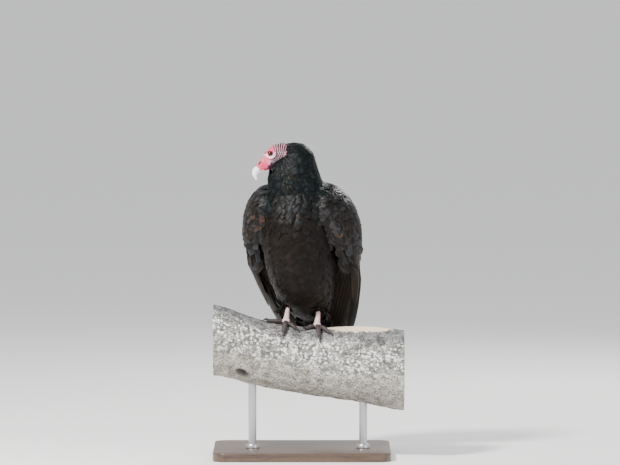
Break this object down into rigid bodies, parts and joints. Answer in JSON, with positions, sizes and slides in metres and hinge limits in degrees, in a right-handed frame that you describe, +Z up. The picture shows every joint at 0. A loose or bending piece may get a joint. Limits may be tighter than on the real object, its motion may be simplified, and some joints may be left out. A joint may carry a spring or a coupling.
{
  "type": "turkey vulture museum model",
  "caption": "Life-size turkey vulture, perched and hunched with folded wings and turned bare red head, on a cut length of limb on a plain display stand.",
  "frame": {"origin": "centre of the display base's flat underside", "axes": "+Z up, -Y the side that the bird faces, +X to the bird's left side; the bird's body is turned 15 degrees from -Y towards -X"},
  "size_m": [0.43, 0.3616, 0.7129],
  "materials": {
    "body_plumage": "soft sooty black-brown feathers",
    "neck_plumage": "glossy black feathers with a faint green sheen",
    "flight_feathers": "dark brown feathers with paler worn edges",
    "head_skin": "bare red-pink wrinkled skin, purplish behind",
    "bill_horn": "smooth ivory-white horn",
    "eye_glass": "dark red-brown, polished",
    "leg_skin": "scaly pinkish skin with a chalky white coat",
    "toe_skin": "dark grey scaly skin",
    "claw_horn": "black horn, satin",
    "limb_bark": "grey bark with pale lichen and a stretch of bare pale wood",
    "base_wood": "dark stained hardwood, satin lacquer",
    "rod_steel": "brushed steel rod"
  },
  "bodies": {
    "root": {"back": "body_plumage", "bill_lower": "bill_horn", "bill_upper": "bill_horn", "claw_left_hallux": "claw_horn", "claw_left_inner": "claw_horn", "claw_left_middle": "claw_horn", "claw_left_outer": "claw_horn", "claw_right_hallux": "claw_horn", "claw_right_inner": "claw_horn", "claw_right_middle": "claw_horn", "claw_right_outer": "claw_horn", "eye_left": "eye_glass", "eye_right": "eye_glass", "head": "head_skin", "neck": "neck_plumage", "perch_limb": "limb_bark", "stand_base": "base_wood", "stand_rod_left": "rod_steel", "stand_rod_right": "rod_steel", "tail": "flight_feathers", "tarsus_left": "leg_skin", "tarsus_right": "leg_skin", "thigh_left": "body_plumage", "thigh_right": "body_plumage", "toe_left_hallux": "toe_skin", "toe_left_inner": "toe_skin", "toe_left_middle": "toe_skin", "toe_left_outer": "toe_skin", "toe_right_hallux": "toe_skin", "toe_right_inner": "toe_skin", "toe_right_middle": "toe_skin", "toe_right_outer": "toe_skin", "trunk": "body_plumage", "wing_left_coverts": "flight_feathers", "wing_left_primaries": "flight_feathers", "wing_left_secondaries": "flight_feathers", "wing_right_coverts": "flight_feathers", "wing_right_primaries": "flight_feathers", "wing_right_secondaries": "flight_feathers"}
  },
  "joints": []
}
